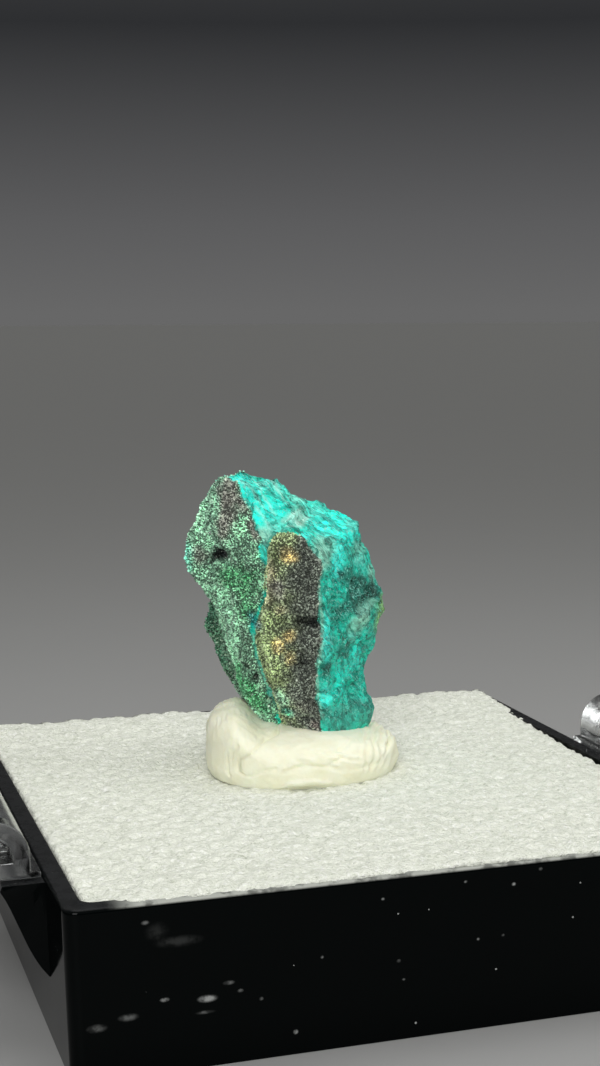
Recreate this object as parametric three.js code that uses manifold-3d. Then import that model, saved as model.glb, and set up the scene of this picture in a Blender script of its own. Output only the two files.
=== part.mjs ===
// A dioptase specimen set in mineral putty on the foam of a thumbnail display box.
// Millimetres, +Z up. The origin is under the middle of the box, on the surface it stands on.
import * as THREE from "three";
import { mergeVertices } from "three/addons/utils/BufferGeometryUtils.js";
import { ImprovedNoise } from "three/addons/math/ImprovedNoise.js";
import Module from "manifold-3d";

const wasm = await Module();
wasm.setup();

// Tray
const traySide = 31.75;
const trayHeight = 7.34;
const trayWall = 0.85;
const trayFloor = 1.0;
const trayCornerRadius = 0.6;
const draftDegrees = 2;
const cutThrough = 0.5;

// Ears moulded on the two side walls: outer edge from the bottom up, [from the middle, height]
const earNear = -11.3;
const earFar = 3.6;
const earTop = 7.1;
const earBottom = 2.94;
const earEdge = [[16.15, 3.47], [16.56, 4.23], [16.95, 5.15], [17.43, 6.29], [17.75, 6.86]];
const earBottomTip = 15.75;
const earTopEdge = 17.65;

// Clear knuckles that stand on the ears, each with a thin foot towards the wall
const knuckleInner = 16.35;
const knuckleWidth = 3.3;
const knuckleHeight = 2.6;
const knuckleNear = -10.8;
const knuckleFar = 3.1;
const knuckleWall = 0.75;
const knuckleRecess = 1.6;
const knuckleFootHeight = 0.3;
const seatGap = 0.05;
const arcSegments = 8;
const edgeSegments = 2;

// Foam pad
const foamSide = 29.9;
const foamTop = 7.36;
const foamBevel = 0.25;
const scallopDepth = 0.11;
const scallopsPerSide = 13;
const scallopSwing = 0.4;
const scallopTurn = 7;
const scallopTurnPerSide = 3;

// Stone and putty share a place on the foam, turned to the stone's own front
const stonePlace = new THREE.Vector3(0.3, 2.7, foamTop);
const stoneTurn = THREE.MathUtils.degToRad(-17.7);

// Stone: edge rails from the foot up, each point [across, deep, height above the foam]
const stoneFootHeight = 1.2;
const stoneFootShrink = 0.93;
const stoneFootAxis = [0.4, 0.4];
const stoneRails = [
  // left outline, with the bulge above and the waist below
  [[-2.7, 0.5, 2.5], [-3.7, 0.9, 3.9], [-4.2, 1.1, 6.0], [-4.5, 1.1, 7.2], [-5.1, 0.9, 8.6],
    [-6.0, 0.8, 9.8], [-6.5, 0.7, 10.9], [-6.3, 0.8, 11.9], [-5.6, 0.9, 13.6], [-5.0, 0.8, 14.5],
    [-4.2, 0.7, 15.2]],
  // middle of the left crust face, hollow at mid height
  [[-2.1, -0.6, 2.4], [-3.2, -0.5, 4.9], [-3.8, -0.4, 8.3], [-4.1, -0.4, 9.6], [-4.4, 0.0, 10.9],
    [-4.4, -0.5, 12.1], [-4.1, -0.5, 13.7], [-3.5, -0.1, 15.0]],
  // crevice between the left face and the front panel
  [[-1.2, -1.3, 2.5], [-1.6, -1.4, 3.4], [-2.3, -1.2, 5.7], [-2.7, -0.9, 7.1], [-2.5, -0.8, 8.2],
    [-2.3, -1.1, 9.4], [-2.2, -1.0, 10.8], [-2.3, -1.6, 11.8]],
  // left shoulder of the front panel, nicked at the ledge
  [[-0.6, -2.1, 2.6], [-1.1, -2.3, 3.8], [-1.7, -2.3, 5.3], [-2.1, -2.4, 6.7], [-2.1, -1.9, 7.7],
    [-1.9, -2.2, 9.0], [-1.8, -2.2, 10.6], [-1.6, -2.1, 12.1]],
  // sharp right edge of the front panel
  [[0.7, -2.5, 2.3], [0.6, -2.6, 3.9], [0.6, -2.8, 5.5], [0.8, -2.8, 6.8], [0.6, -2.3, 7.9],
    [0.6, -2.7, 9.1], [0.7, -2.6, 10.6], [0.3, -2.6, 11.3], [-0.2, -2.4, 12.3]],
  // belly of the right fracture face
  [[2.2, -1.5, 2.2], [2.0, -1.4, 3.1], [1.8, -1.2, 5.0], [1.9, -1.5, 6.8], [2.2, -1.5, 8.1],
    [2.3, -1.3, 9.4], [2.0, -1.4, 10.7], [1.5, -1.4, 11.7]],
  // right outline, with the block of the foot, the waist and the bulge
  [[3.3, 0.1, 2.0], [3.6, 0.2, 2.9], [3.0, 0.4, 4.1], [3.0, 0.4, 5.0], [3.7, 0.5, 6.7],
    [4.2, 0.6, 7.7], [4.2, 0.6, 8.5], [3.5, 0.6, 10.1], [3.2, 0.6, 11.1], [2.6, 0.6, 12.6]],
  // back right
  [[2.9, 2.2, 1.6], [3.2, 2.2, 2.5], [2.7, 2.6, 4.4], [3.5, 2.9, 7.6], [2.9, 2.4, 10.4],
    [2.2, 1.3, 13.0]],
  // middle of the back
  [[1.0, 3.2, 1.6], [0.8, 4.0, 5.2], [1.0, 3.8, 9.1], [0.8, 2.6, 12.0], [0.7, 1.4, 13.8]],
  // back, under the notch of the top outline
  [[-0.9, 3.2, 1.8], [-1.2, 4.2, 5.2], [-1.2, 4.0, 9.1], [-1.0, 2.6, 12.5], [-0.8, 1.3, 14.1]],
  // lump behind the left side
  [[-2.4, 2.4, 2.1], [-3.6, 2.8, 3.0], [-4.6, 3.3, 4.3], [-5.2, 3.6, 5.8], [-5.5, 3.7, 6.6],
    [-5.4, 3.6, 7.5], [-5.1, 3.2, 8.4], [-4.4, 2.6, 10.4], [-3.4, 2.0, 12.6], [-1.5, 1.3, 14.9]],
  // gap between the lump and the left outline
  [[-2.4, 1.4, 2.1], [-3.3, 1.9, 3.5], [-4.0, 2.2, 5.0], [-4.3, 2.3, 6.6], [-4.5, 2.2, 8.0],
    [-5.2, 1.6, 10.4], [-5.2, 1.4, 12.9], [-4.4, 1.2, 14.5], [-3.1, 1.0, 15.3]],
];
const stoneTopCentre = [-0.7, -0.3, 13.5];
const stoneColumns = 72;
const stoneSideRows = 34;
const stoneCapRows = 7;
const stoneFootRows = 2;
const stoneHeart = [0, 0.6, 8];
const smoothFootPart = 1 / 6;
const outwardFlatness = 0.4;
const hackleSize = 0.75;
const hackleDepth = 0.2;
const hackleSeed = 9;
const lumpSize = 1.9;
const lumpDepth = 0.26;
const lumpSeed = 5;
const pearlyBump = { at: [-0.5, 0.2, 13.3], radius: 0.55, height: 0.25 };

// Putty: pressed disc with a tall left lobe and a low right end
const puttyMiddle = [-0.45, -0.3];
const puttyRadiusAcross = 4.85;
const puttyRadiusDeep = 4.9;
const puttyWaist = 0.7;
const puttyFlatFrom = 0.42;
const puttyFrontTop = 2.35;
const puttyLeftLobe = 1.5;
const puttyRightDip = 0.45;
const puttyTopSpread = 1.6;
const puttyCrownOut = 0.75;
const puttySkirtOut = 0.4;
const puttyCrownRise = 0.6;
const puttyOutlineWaves = [[3, 0.035, 0.5], [2, 0.03, -0.7]];
const puttyLump = 0.12;
const puttyLumpSize = 1.1;
const puttyLumpSeed = 3;
const puttyColumns = 44;
const puttyRows = 14;
const puttyPocketGap = 0.3;
const stoneFootWidth = 6.2;

// Colours, linear working values from sRGB
const colour = {
  stone: new THREE.Color().setRGB(0.11, 0.55, 0.48, THREE.SRGBColorSpace),
  putty: new THREE.Color().setRGB(0.95, 0.94, 0.85, THREE.SRGBColorSpace),
  foam: new THREE.Color().setRGB(0.93, 0.94, 0.92, THREE.SRGBColorSpace),
  tray: new THREE.Color().setRGB(0.02, 0.02, 0.022, THREE.SRGBColorSpace),
  clear: new THREE.Color().setRGB(0.88, 0.9, 0.9, THREE.SRGBColorSpace),
};
const looks = {
  stone: new THREE.MeshStandardMaterial({ color: colour.stone, roughness: 0.4, metalness: 0 }),
  putty: new THREE.MeshStandardMaterial({ color: colour.putty, roughness: 0.75, metalness: 0 }),
  foam: new THREE.MeshStandardMaterial({ color: colour.foam, roughness: 0.9, metalness: 0 }),
  tray: new THREE.MeshStandardMaterial({ color: colour.tray, roughness: 0.12, metalness: 0 }),
  clear: new THREE.MeshStandardMaterial({
    color: colour.clear, roughness: 0.05, metalness: 0, transparent: true, opacity: 0.35,
  }),
};

const noise = new ImprovedNoise();
const { lerp, degToRad } = THREE.MathUtils;

// Keep only the positions, so that shared corners can be merged
function positionsOnly(geometry) {
  const bare = geometry.clone();
  bare.deleteAttribute("normal");
  bare.deleteAttribute("uv");
  return mergeVertices(bare, 1e-4);
}

function toSolid(geometry) {
  const merged = positionsOnly(geometry);
  return new wasm.Manifold(new wasm.Mesh({
    numProp: 3,
    vertProperties: new Float32Array(merged.attributes.position.array),
    triVerts: new Uint32Array(merged.index.array),
  }));
}

function toGeometry(solid) {
  const mesh = solid.getMesh();
  const geometry = new THREE.BufferGeometry();
  geometry.setAttribute("position", new THREE.BufferAttribute(mesh.vertProperties, 3));
  geometry.setIndex(new THREE.BufferAttribute(mesh.triVerts, 1));
  return geometry;
}

// Move every vertex of a geometry by a rule that gets and returns a vector
function reshape(geometry, rule) {
  const place = geometry.attributes.position;
  const point = new THREE.Vector3();
  for (let i = 0; i < place.count; i += 1) {
    point.fromBufferAttribute(place, i);
    const moved = rule(point.clone());
    place.setXYZ(i, moved.x, moved.y, moved.z);
  }
  return geometry;
}

function roundedSquare(side, radius) {
  const half = side / 2;
  const inner = half - radius;
  const shape = new THREE.Shape();
  shape.absarc(inner, -inner, radius, -Math.PI / 2, 0, false);
  shape.absarc(inner, inner, radius, 0, Math.PI / 2, false);
  shape.absarc(-inner, inner, radius, Math.PI / 2, Math.PI, false);
  shape.absarc(-inner, -inner, radius, Math.PI, 1.5 * Math.PI, false);
  return shape;
}

// Narrow a block downward by the mould's draft
function drafted(block, side, top) {
  const narrowing = Math.tan(degToRad(draftDegrees)) / (side / 2);
  return reshape(block, (p) => {
    const scale = 1 - (top - p.z) * narrowing;
    return new THREE.Vector3(p.x * scale, p.y * scale, p.z);
  });
}

function draftedBlock(side, radius, bottom, top) {
  const block = new THREE.ExtrudeGeometry(roundedSquare(side, radius), {
    depth: top - bottom,
    bevelEnabled: false,
    curveSegments: 3,
  });
  return drafted(block.translate(0, 0, bottom), side, top);
}

// Bar along Y from a profile drawn in X (outward) and Z (up), on the right side or the left
function sideBar(shape, near, far, side, curveSegments) {
  const bar = new THREE.ExtrudeGeometry(shape, { depth: far - near, bevelEnabled: false, curveSegments });
  bar.rotateX(Math.PI / 2);
  bar.translate(0, far, 0);
  if (side < 0) {
    bar.rotateZ(Math.PI);
    bar.translate(0, near + far, 0);
  }
  return bar;
}

// Ear: a flat step a little under the rim, its outside curving in to the wall below
function earSolid(side) {
  const wall = traySide / 2 - trayWall / 2;
  const shape = new THREE.Shape();
  shape.moveTo(wall, earTop);
  shape.lineTo(wall, earBottom);
  shape.lineTo(earBottomTip, earBottom);
  shape.splineThru(earEdge.map(([across, height]) => new THREE.Vector2(across, height)));
  shape.lineTo(earTopEdge, earTop);
  return toSolid(sideBar(shape, earNear, earFar, side, edgeSegments));
}

function boxBase() {
  const outside = toSolid(draftedBlock(traySide, trayCornerRadius, 0, trayHeight));
  const innerSide = traySide - 2 * trayWall;
  const inside = toSolid(draftedBlock(innerSide, trayCornerRadius, trayFloor, trayHeight + cutThrough));
  const solid = outside.add(earSolid(1)).add(earSolid(-1)).subtract(inside);
  return new THREE.Mesh(toGeometry(solid), looks.tray);
}

// D-shaped section of a knuckle: flat underneath, domed above
function knuckleShape(inset) {
  const left = knuckleInner + inset;
  const width = knuckleWidth - 2 * inset;
  const bottom = earTop + seatGap + inset;
  const height = knuckleHeight - 2 * inset;
  const shape = new THREE.Shape();
  shape.moveTo(left, bottom);
  shape.lineTo(left + width, bottom);
  shape.lineTo(left + width, bottom + height - width / 2);
  shape.absarc(left + width / 2, bottom + height - width / 2, width / 2, 0, Math.PI, false);
  return shape;
}

// Clear knuckle, hollowed from its near end
function hingeKnuckle(side) {
  const bar = toSolid(sideBar(knuckleShape(0), knuckleNear, knuckleFar, side, arcSegments));
  const hollowNear = knuckleNear - cutThrough;
  const hollowFar = knuckleNear + knuckleRecess;
  const hollow = toSolid(sideBar(knuckleShape(knuckleWall), hollowNear, hollowFar, side, arcSegments));
  const footFrom = traySide / 2 + seatGap;
  const footTo = knuckleInner + knuckleWall / 2;
  const foot = new THREE.BoxGeometry(footTo - footFrom, knuckleFar - knuckleNear, knuckleFootHeight);
  foot.translate(
    side * (footFrom + footTo) / 2,
    (knuckleNear + knuckleFar) / 2,
    earTop + seatGap + knuckleFootHeight / 2,
  );
  return new THREE.Mesh(toGeometry(bar.subtract(hollow).add(toSolid(foot))), looks.clear);
}

// Foam slab whose cut edge follows its beads in small scallops
function foamPad() {
  const half = foamSide / 2 - foamBevel;
  const pointsPerSide = scallopsPerSide * 2;
  const outline = [];
  const corners = [[-1, -1], [1, -1], [1, 1], [-1, 1]];
  corners.forEach(([x, y], index) => {
    const [nextX, nextY] = corners[(index + 1) % 4];
    for (let i = 0; i < pointsPerSide; i += 1) {
      const t = i / pointsPerSide;
      const swing = Math.sin(scallopTurn * i + scallopTurnPerSide * index);
      const wave = scallopDepth * (i % 2) * (1 + scallopSwing * (swing - 1));
      const inward = i === 0 ? foamBevel : wave;
      const px = lerp(x, nextX, t) * half;
      const py = lerp(y, nextY, t) * half;
      const alongX = x !== nextX;
      outline.push(new THREE.Vector2(
        alongX && i > 0 ? px : px - Math.sign(px) * inward,
        alongX || i === 0 ? py - Math.sign(py) * inward : py,
      ));
    }
  });
  const foam = new THREE.ExtrudeGeometry(new THREE.Shape(outline), {
    depth: foamTop - trayFloor - 2 * foamBevel,
    bevelThickness: foamBevel,
    bevelSize: foamBevel,
    bevelSegments: 1,
  });
  return drafted(foam.translate(0, 0, trayFloor + foamBevel), foamSide, foamTop);
}

// Point of a rail at a height, with straight runs between its named points
function railAt(rail, height) {
  let k = 1;
  while (k < rail.length - 1 && rail[k][2] < height) {
    k += 1;
  }
  const [x0, y0, z0] = rail[k - 1];
  const [x1, y1, z1] = rail[k];
  const t = THREE.MathUtils.clamp((height - z0) / (z1 - z0), 0, 1);
  return new THREE.Vector3(lerp(x0, x1, t), lerp(y0, y1, t), height);
}

// Rails with a buried foot added below their first point
const footedRails = stoneRails.map((rail) => {
  const [x, y] = rail[0];
  const footX = lerp(stoneFootAxis[0], x, stoneFootShrink);
  const footY = lerp(stoneFootAxis[1], y, stoneFootShrink);
  return [[footX, footY, stoneFootHeight], ...rail];
});

// Place round the stone at a part of its height, from 0 at the foot to 1 at the top edge
function stoneSide(around, part) {
  const count = footedRails.length;
  const first = Math.floor(around * count) % count;
  const t = around * count - Math.floor(around * count);
  const ends = [footedRails[first], footedRails[(first + 1) % count]].map((rail) => {
    const top = rail[rail.length - 1][2];
    return railAt(rail, lerp(stoneFootHeight, top, part));
  });
  return ends[0].lerp(ends[1], t);
}

// Broad lumps and small hackles, pushed out from the middle of the stone
function roughen(point, strength) {
  const broad = noise.noise(point.x / lumpSize, point.y / lumpSize, point.z / lumpSize + lumpSeed);
  const fine = noise.noise(point.x / hackleSize, point.y / hackleSize, point.z / hackleSize + hackleSeed);
  const outward = point.clone().sub(new THREE.Vector3(...stoneHeart));
  outward.z *= outwardFlatness;
  outward.normalize();
  const bump = new THREE.Vector3(...pearlyBump.at).distanceTo(point) / pearlyBump.radius;
  const raised = bump < 1 ? pearlyBump.height * (1 - bump * bump) : 0;
  const shift = strength * (broad * lumpDepth + fine * hackleDepth) + raised;
  return point.addScaledVector(outward, shift);
}

// Stone: the grid of a sphere laid over the foot, the sides between the rails and the top face
function stoneGeometry() {
  const rows = stoneFootRows + stoneSideRows + stoneCapRows;
  const grid = positionsOnly(new THREE.SphereGeometry(1, stoneColumns, rows));
  const footCentre = new THREE.Vector3(...stoneFootAxis, stoneFootHeight);
  const topCentre = new THREE.Vector3(...stoneTopCentre);
  return reshape(grid, (p) => {
    const row = Math.round((1 - Math.acos(THREE.MathUtils.clamp(p.y, -1, 1)) / Math.PI) * rows);
    const turn = Math.atan2(p.z, p.x) / (2 * Math.PI);
    const around = ((-turn + 1) % 1 + 1) % 1;
    if (row < stoneFootRows) {
      return footCentre.clone().lerp(stoneSide(around, 0), row / stoneFootRows);
    }
    const part = (row - stoneFootRows) / stoneSideRows;
    if (part <= 1) {
      const strength = Math.min(1, part / smoothFootPart);
      return roughen(stoneSide(around, part), strength);
    }
    const inward = (row - stoneFootRows - stoneSideRows) / stoneCapRows;
    return roughen(stoneSide(around, 1).lerp(topCentre, inward), 1);
  });
}

// Height of the putty's top in a direction and at a part of its radius
function puttyTop(angle, out) {
  const left = Math.max(0, -Math.cos(angle)) ** 2;
  const right = Math.max(0, Math.cos(angle)) ** 3;
  return puttyFrontTop + (puttyLeftLobe * left - puttyRightDip * right) * Math.min(1, out * puttyTopSpread);
}

// Above its waist the putty is a low dome, below it a short side and a flat bottom
function puttyGeometry() {
  const grid = positionsOnly(new THREE.SphereGeometry(1, puttyColumns, puttyRows));
  grid.rotateX(Math.PI / 2);
  return reshape(grid, (p) => {
    const angle = Math.atan2(p.y, p.x);
    const ring = Math.hypot(p.x, p.y);
    const waves = puttyOutlineWaves.map(([count, size, turn]) => size * Math.cos(count * angle + turn));
    const outline = waves.reduce((sum, wave) => sum + wave, 1);
    const upper = p.z >= 0;
    const out = ring ** (upper ? puttyCrownOut : puttySkirtOut);
    const x = Math.cos(angle) * puttyRadiusAcross * out * outline;
    const y = Math.sin(angle) * puttyRadiusDeep * out * outline;
    const rise = (puttyTop(angle, out) - puttyWaist) * Math.abs(p.z) ** puttyCrownRise;
    const fall = puttyWaist * Math.min(1, -p.z / puttyFlatFrom);
    const z = upper ? puttyWaist + rise : puttyWaist - fall;
    const wander = noise.noise(x / puttyLumpSize, y / puttyLumpSize, z / puttyLumpSize + puttyLumpSeed);
    const lump = z > seatGap * 2 ? puttyLump * wander : 0;
    const grow = 1 + lump / puttyRadiusAcross;
    return new THREE.Vector3(puttyMiddle[0] + x * grow, puttyMiddle[1] + y * grow, seatGap + z + lump);
  });
}

// Putty with a pocket that follows the foot of the stone
function puttySolid(stone) {
  const grow = 1 + (2 * puttyPocketGap) / stoneFootWidth;
  const tool = stone.clone();
  tool.translate(-stoneFootAxis[0], -stoneFootAxis[1], 0);
  tool.scale(grow, grow, 1);
  tool.translate(stoneFootAxis[0], stoneFootAxis[1], -puttyPocketGap);
  return toSolid(puttyGeometry()).subtract(toSolid(tool));
}

const model = new THREE.Group();

function addNamed(parent, name, mesh) {
  mesh.name = name;
  parent.add(mesh);
}

addNamed(model, "box_base", boxBase());
addNamed(model, "hinge_knuckle_left", hingeKnuckle(-1));
addNamed(model, "hinge_knuckle_right", hingeKnuckle(1));

addNamed(model, "foam_pad", new THREE.Mesh(foamPad(), looks.foam));

const setPiece = new THREE.Group();
setPiece.position.copy(stonePlace);
setPiece.rotation.z = stoneTurn;
const stone = stoneGeometry();
addNamed(setPiece, "mineral_putty", new THREE.Mesh(toGeometry(puttySolid(stone)), looks.putty));
addNamed(setPiece, "dioptase_specimen", new THREE.Mesh(stone, looks.stone));
model.add(setPiece);

export default model;
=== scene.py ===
# A dioptase specimen in putty on the foam of an open display box, dressed for a product picture
# Metres, +Z up, in the same frame as the CAD part
import math
import bmesh
import bpy
import numpy as np
from mathutils import Matrix, Vector, noise


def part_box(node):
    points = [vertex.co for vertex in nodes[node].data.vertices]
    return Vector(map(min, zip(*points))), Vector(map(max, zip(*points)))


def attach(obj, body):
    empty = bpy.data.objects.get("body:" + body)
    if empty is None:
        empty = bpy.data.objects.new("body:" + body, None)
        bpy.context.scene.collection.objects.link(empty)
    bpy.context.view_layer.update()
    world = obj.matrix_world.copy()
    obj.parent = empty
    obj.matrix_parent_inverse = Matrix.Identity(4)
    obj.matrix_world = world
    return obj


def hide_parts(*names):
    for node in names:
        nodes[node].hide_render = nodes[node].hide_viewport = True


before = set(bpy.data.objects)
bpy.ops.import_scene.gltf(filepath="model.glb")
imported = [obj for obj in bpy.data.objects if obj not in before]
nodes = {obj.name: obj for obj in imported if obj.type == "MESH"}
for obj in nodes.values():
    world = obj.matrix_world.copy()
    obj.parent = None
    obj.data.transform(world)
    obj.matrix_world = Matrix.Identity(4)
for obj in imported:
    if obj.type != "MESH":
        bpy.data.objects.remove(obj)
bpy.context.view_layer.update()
mm = 0.001
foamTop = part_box("foam_pad")[1].z
print("frame loaded, foam top at", round(foamTop / mm, 2), "mm")

# the stone and the putty are turned to the stone's own front
stonePlace = Vector((0.3 * mm, 2.7 * mm, foamTop))
stoneTurn = math.radians(17.7)
acrossAxis = Vector((math.cos(stoneTurn), -math.sin(stoneTurn), 0))
deepAxis = Vector((math.sin(stoneTurn), math.cos(stoneTurn), 0))


def toStone(point):
    # across, deep and height above the foam, in millimetres
    p = point - stonePlace
    return Vector((p.dot(acrossAxis), p.dot(deepAxis), p.z)) / mm


def fromStone(across, deep, height):
    return stonePlace + (acrossAxis * across + deepAxis * deep) * mm + Vector((0, 0, height * mm))


def ease(low, high, value):
    t = np.clip((value - low) / (high - low), 0, 1)
    return t * t * (3 - 2 * t)


def noiseAt(points, size, seed=0):
    # smooth noise of about -1 to 1 for points in millimetres
    shift = Vector((seed, seed * 1.7, -seed * 0.6))
    return np.array([noise.noise(Vector(p) / size + shift) for p in points])


def lineDistance(points, line):
    # distance of flat points from a bent line, and how far along it they are
    best = np.full(len(points), 1e9)
    along = np.zeros(len(points))
    run = 0.0
    for start, end in zip(line[:-1], line[1:]):
        a, d = np.array(start, float), np.array(end, float) - np.array(start, float)
        length = float(np.hypot(*d))
        t = np.clip(((points - a) @ d) / (length * length), 0, 1)
        gap = np.hypot(*(points - a - t[:, None] * d).T)
        nearer = gap < best
        best = np.where(nearer, gap, best)
        along = np.where(nearer, run + t * length, along)
        run += length
    return best, along / run


def nearLine(points, line, width):
    # 1 on a bent line, fading out over a width
    return np.exp(-(lineDistance(points, line)[0] / width) ** 2)


def screen(*rgb):
    # a screen colour of 0 to 255 as the linear values that the shaders use
    return (*(c / 255 / 12.92 if c < 11 else ((c / 255 + 0.055) / 1.055) ** 2.4 for c in rgb), 1)


def copyOfNode(name):
    bm = bmesh.new()
    bm.from_mesh(nodes[name].data)
    bmesh.ops.remove_doubles(bm, verts=bm.verts, dist=1e-6)
    return bm


def smoothForm(bm, rounds):
    for _ in range(rounds):
        bmesh.ops.smooth_vert(bm, verts=bm.verts, factor=0.5,
                              use_axis_x=True, use_axis_y=True, use_axis_z=True)


def bevelEdges(bm, edges, width, steps):
    bmesh.ops.bevel(bm, geom=edges, offset=width, offset_type="OFFSET", segments=steps,
                    profile=0.5, affect="EDGES", material=-1, clamp_overlap=True)


def meshFrom(name, bm):
    mesh = bpy.data.meshes.new(name)
    bm.to_mesh(mesh)
    bm.free()
    return mesh


def addObject(name, data):
    thing = bpy.data.objects.new(name, data)
    bpy.context.scene.collection.objects.link(thing)
    return thing


def finishPiece(name, mesh, material, replaced=(), smooth=True):
    mesh.name = name
    mesh.materials.clear()
    mesh.materials.append(material)
    mesh.polygons.foreach_set("material_index", [0] * len(mesh.polygons))
    mesh.polygons.foreach_set("use_smooth", [smooth] * len(mesh.polygons))
    piece = addObject(name, mesh)
    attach(piece, "root")
    if replaced:
        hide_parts(*replaced)
    print(name, "has", sum(len(p.vertices) - 2 for p in mesh.polygons), "triangles")
    return piece


def setInputs(node, inputs):
    # each input takes a value, or a wire from another node's output
    for key, value in inputs.items():
        if isinstance(value, bpy.types.NodeSocket):
            node.id_data.links.new(value, node.inputs[key])
        else:
            node.inputs[key].default_value = value


def place(tree, kind, inputs=None, **settings):
    node = tree.nodes.new(kind)
    for key, value in settings.items():
        setattr(node, key, value)
    setInputs(node, inputs or {})
    return node


def follow(kind, inputs, **settings):
    # a new node in the tree that its wires come from
    tree = next(value.id_data for value in inputs.values() if isinstance(value, bpy.types.NodeSocket))
    return place(tree, kind, inputs, **settings)


def mathNode(operation, a, b, clamp=False):
    return follow("ShaderNodeMath", {0: a, 1: b}, operation=operation, use_clamp=clamp).outputs[0]


def times(a, b, clamp=False):
    return mathNode("MULTIPLY", a, b, clamp)


def plus(a, b, clamp=False):
    return mathNode("ADD", a, b, clamp)


def vectorMath(operation, *values):
    node = follow("ShaderNodeVectorMath", dict(enumerate(values)), operation=operation)
    return node.outputs["Value" if operation == "LENGTH" else "Vector"]


def scaleVector(vector, amount):
    return follow("ShaderNodeVectorMath", {0: vector, "Scale": amount}, operation="SCALE").outputs[0]


def splitVector(vector):
    return follow("ShaderNodeSeparateXYZ", {0: vector}).outputs


def splitColour(colour):
    return follow("ShaderNodeSeparateColor", {0: colour}).outputs


def remap(value, low, high, toLow=0, toHigh=1):
    inputs = {"Value": value, "From Min": low, "From Max": high, "To Min": toLow, "To Max": toHigh}
    return follow("ShaderNodeMapRange", inputs, interpolation_type="SMOOTHSTEP").outputs["Result"]


def mix(factor, a, b, blend="MIX"):
    return follow("ShaderNodeMix", {0: factor, 6: a, 7: b}, data_type="RGBA", blend_type=blend).outputs[2]


def rampNode(factor, stops):
    ramp = follow("ShaderNodeValToRGB", {"Fac": factor})
    elements = ramp.color_ramp.elements
    for _ in stops[2:]:
        elements.new(1)
    for element, (position, rgb) in zip(elements, stops):
        element.position, element.color = position, screen(*rgb)
    return ramp.outputs["Color"]


def millimetres(tree, turn=(0, 0, 0)):
    # Object coordinates counted in millimetres, turned for a pattern
    where = place(tree, "ShaderNodeTexCoord").outputs["Object"]
    inputs = {"Vector": where, "Scale": [1 / mm] * 3, "Rotation": turn}
    return place(tree, "ShaderNodeMapping", inputs).outputs["Vector"]


def noiseNode(vector, perMm, detail=4, roughness=0.55, distortion=0):
    inputs = {"Scale": perMm, "Detail": detail, "Roughness": roughness, "Distortion": distortion}
    return follow("ShaderNodeTexNoise", {"Vector": vector, **inputs}).outputs["Fac"]


def voronoiNode(vector, perMm):
    return follow("ShaderNodeTexVoronoi", {"Vector": vector, "Scale": perMm}).outputs


def bumpNode(height, strength, distance):
    inputs = {"Strength": strength, "Distance": distance, "Height": height}
    return follow("ShaderNodeBump", inputs).outputs["Normal"]


def newMaterial(name, colour, roughness):
    material = bpy.data.materials.new(name)
    material.use_nodes = True
    material.diffuse_color = colour
    shader = material.node_tree.nodes["Principled BSDF"]
    setInputs(shader, {"Base Color": colour, "Roughness": roughness})
    return material, material.node_tree, shader


def newGroup(name, inputs, output):
    # an input without a value takes a vector, and the output is a mask
    group = bpy.data.node_groups.new(name, "ShaderNodeTree")
    for label, value in inputs.items():
        kind = "NodeSocketVector" if value is None else "NodeSocketFloat"
        socket = group.interface.new_socket(label, in_out="INPUT", socket_type=kind)
        if value is not None:
            socket.default_value = value
    group.interface.new_socket(output, in_out="OUTPUT", socket_type="NodeSocketFloat")
    return group, place(group, "NodeGroupInput").outputs, place(group, "NodeGroupOutput")


def makeGrainGroup():
    # fine grain of a moulded or granular surface, 0 to 1
    group, start, end = newGroup("surfaceGrain", {"Vector": None, "Per mm": 3, "Contrast": 1.0}, "Grain")
    fine = noiseNode(start["Vector"], start["Per mm"], 5, 0.65)
    centred = mathNode("SUBTRACT", fine, 0.5)
    scaled = times(centred, start["Contrast"])
    setInputs(end, {"Grain": plus(scaled, 0.5, clamp=True)})
    return group


def makeDustGroup():
    # sparse round specks, of which only some cells have one
    inputs = {"Vector": None, "Per mm": 1, "Speck size": 0.1, "Share": 0.3}
    group, start, end = newGroup("dustSpecks", inputs, "Specks")
    cells = voronoiNode(start["Vector"], start["Per mm"])
    chance = splitColour(cells["Color"])
    size = times(chance["Green"], start["Speck size"])
    near = mathNode("LESS_THAN", cells["Distance"], size)
    chosen = mathNode("LESS_THAN", chance["Red"], start["Share"])
    setInputs(end, {"Specks": times(near, chosen)})
    return group


def makeSmudgeGroup():
    # one soft round mark at a place, 0 to 1
    inputs = {"Vector": None, "Place": None, "Size": None, "Strength": 1.0}
    group, start, end = newGroup("softSmudge", inputs, "Mark")
    away = vectorMath("SUBTRACT", start["Vector"], start["Place"])
    shaped = vectorMath("DIVIDE", away, start["Size"])
    mark = remap(vectorMath("LENGTH", shaped), 1, 0.1)
    setInputs(end, {"Mark": times(mark, start["Strength"])})
    return group


grainGroup = makeGrainGroup()
dustGroup = makeDustGroup()
smudgeGroup = makeSmudgeGroup()


def addGroup(group, inputs):
    return follow("ShaderNodeGroup", inputs, node_tree=group).outputs[0]


def addGrain(vector, perMm, contrast):
    return addGroup(grainGroup, {"Vector": vector, "Per mm": perMm, "Contrast": contrast})


def addDust(vector, perMm, size, share):
    return addGroup(dustGroup, {"Vector": vector, "Per mm": perMm, "Speck size": size, "Share": share})


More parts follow.
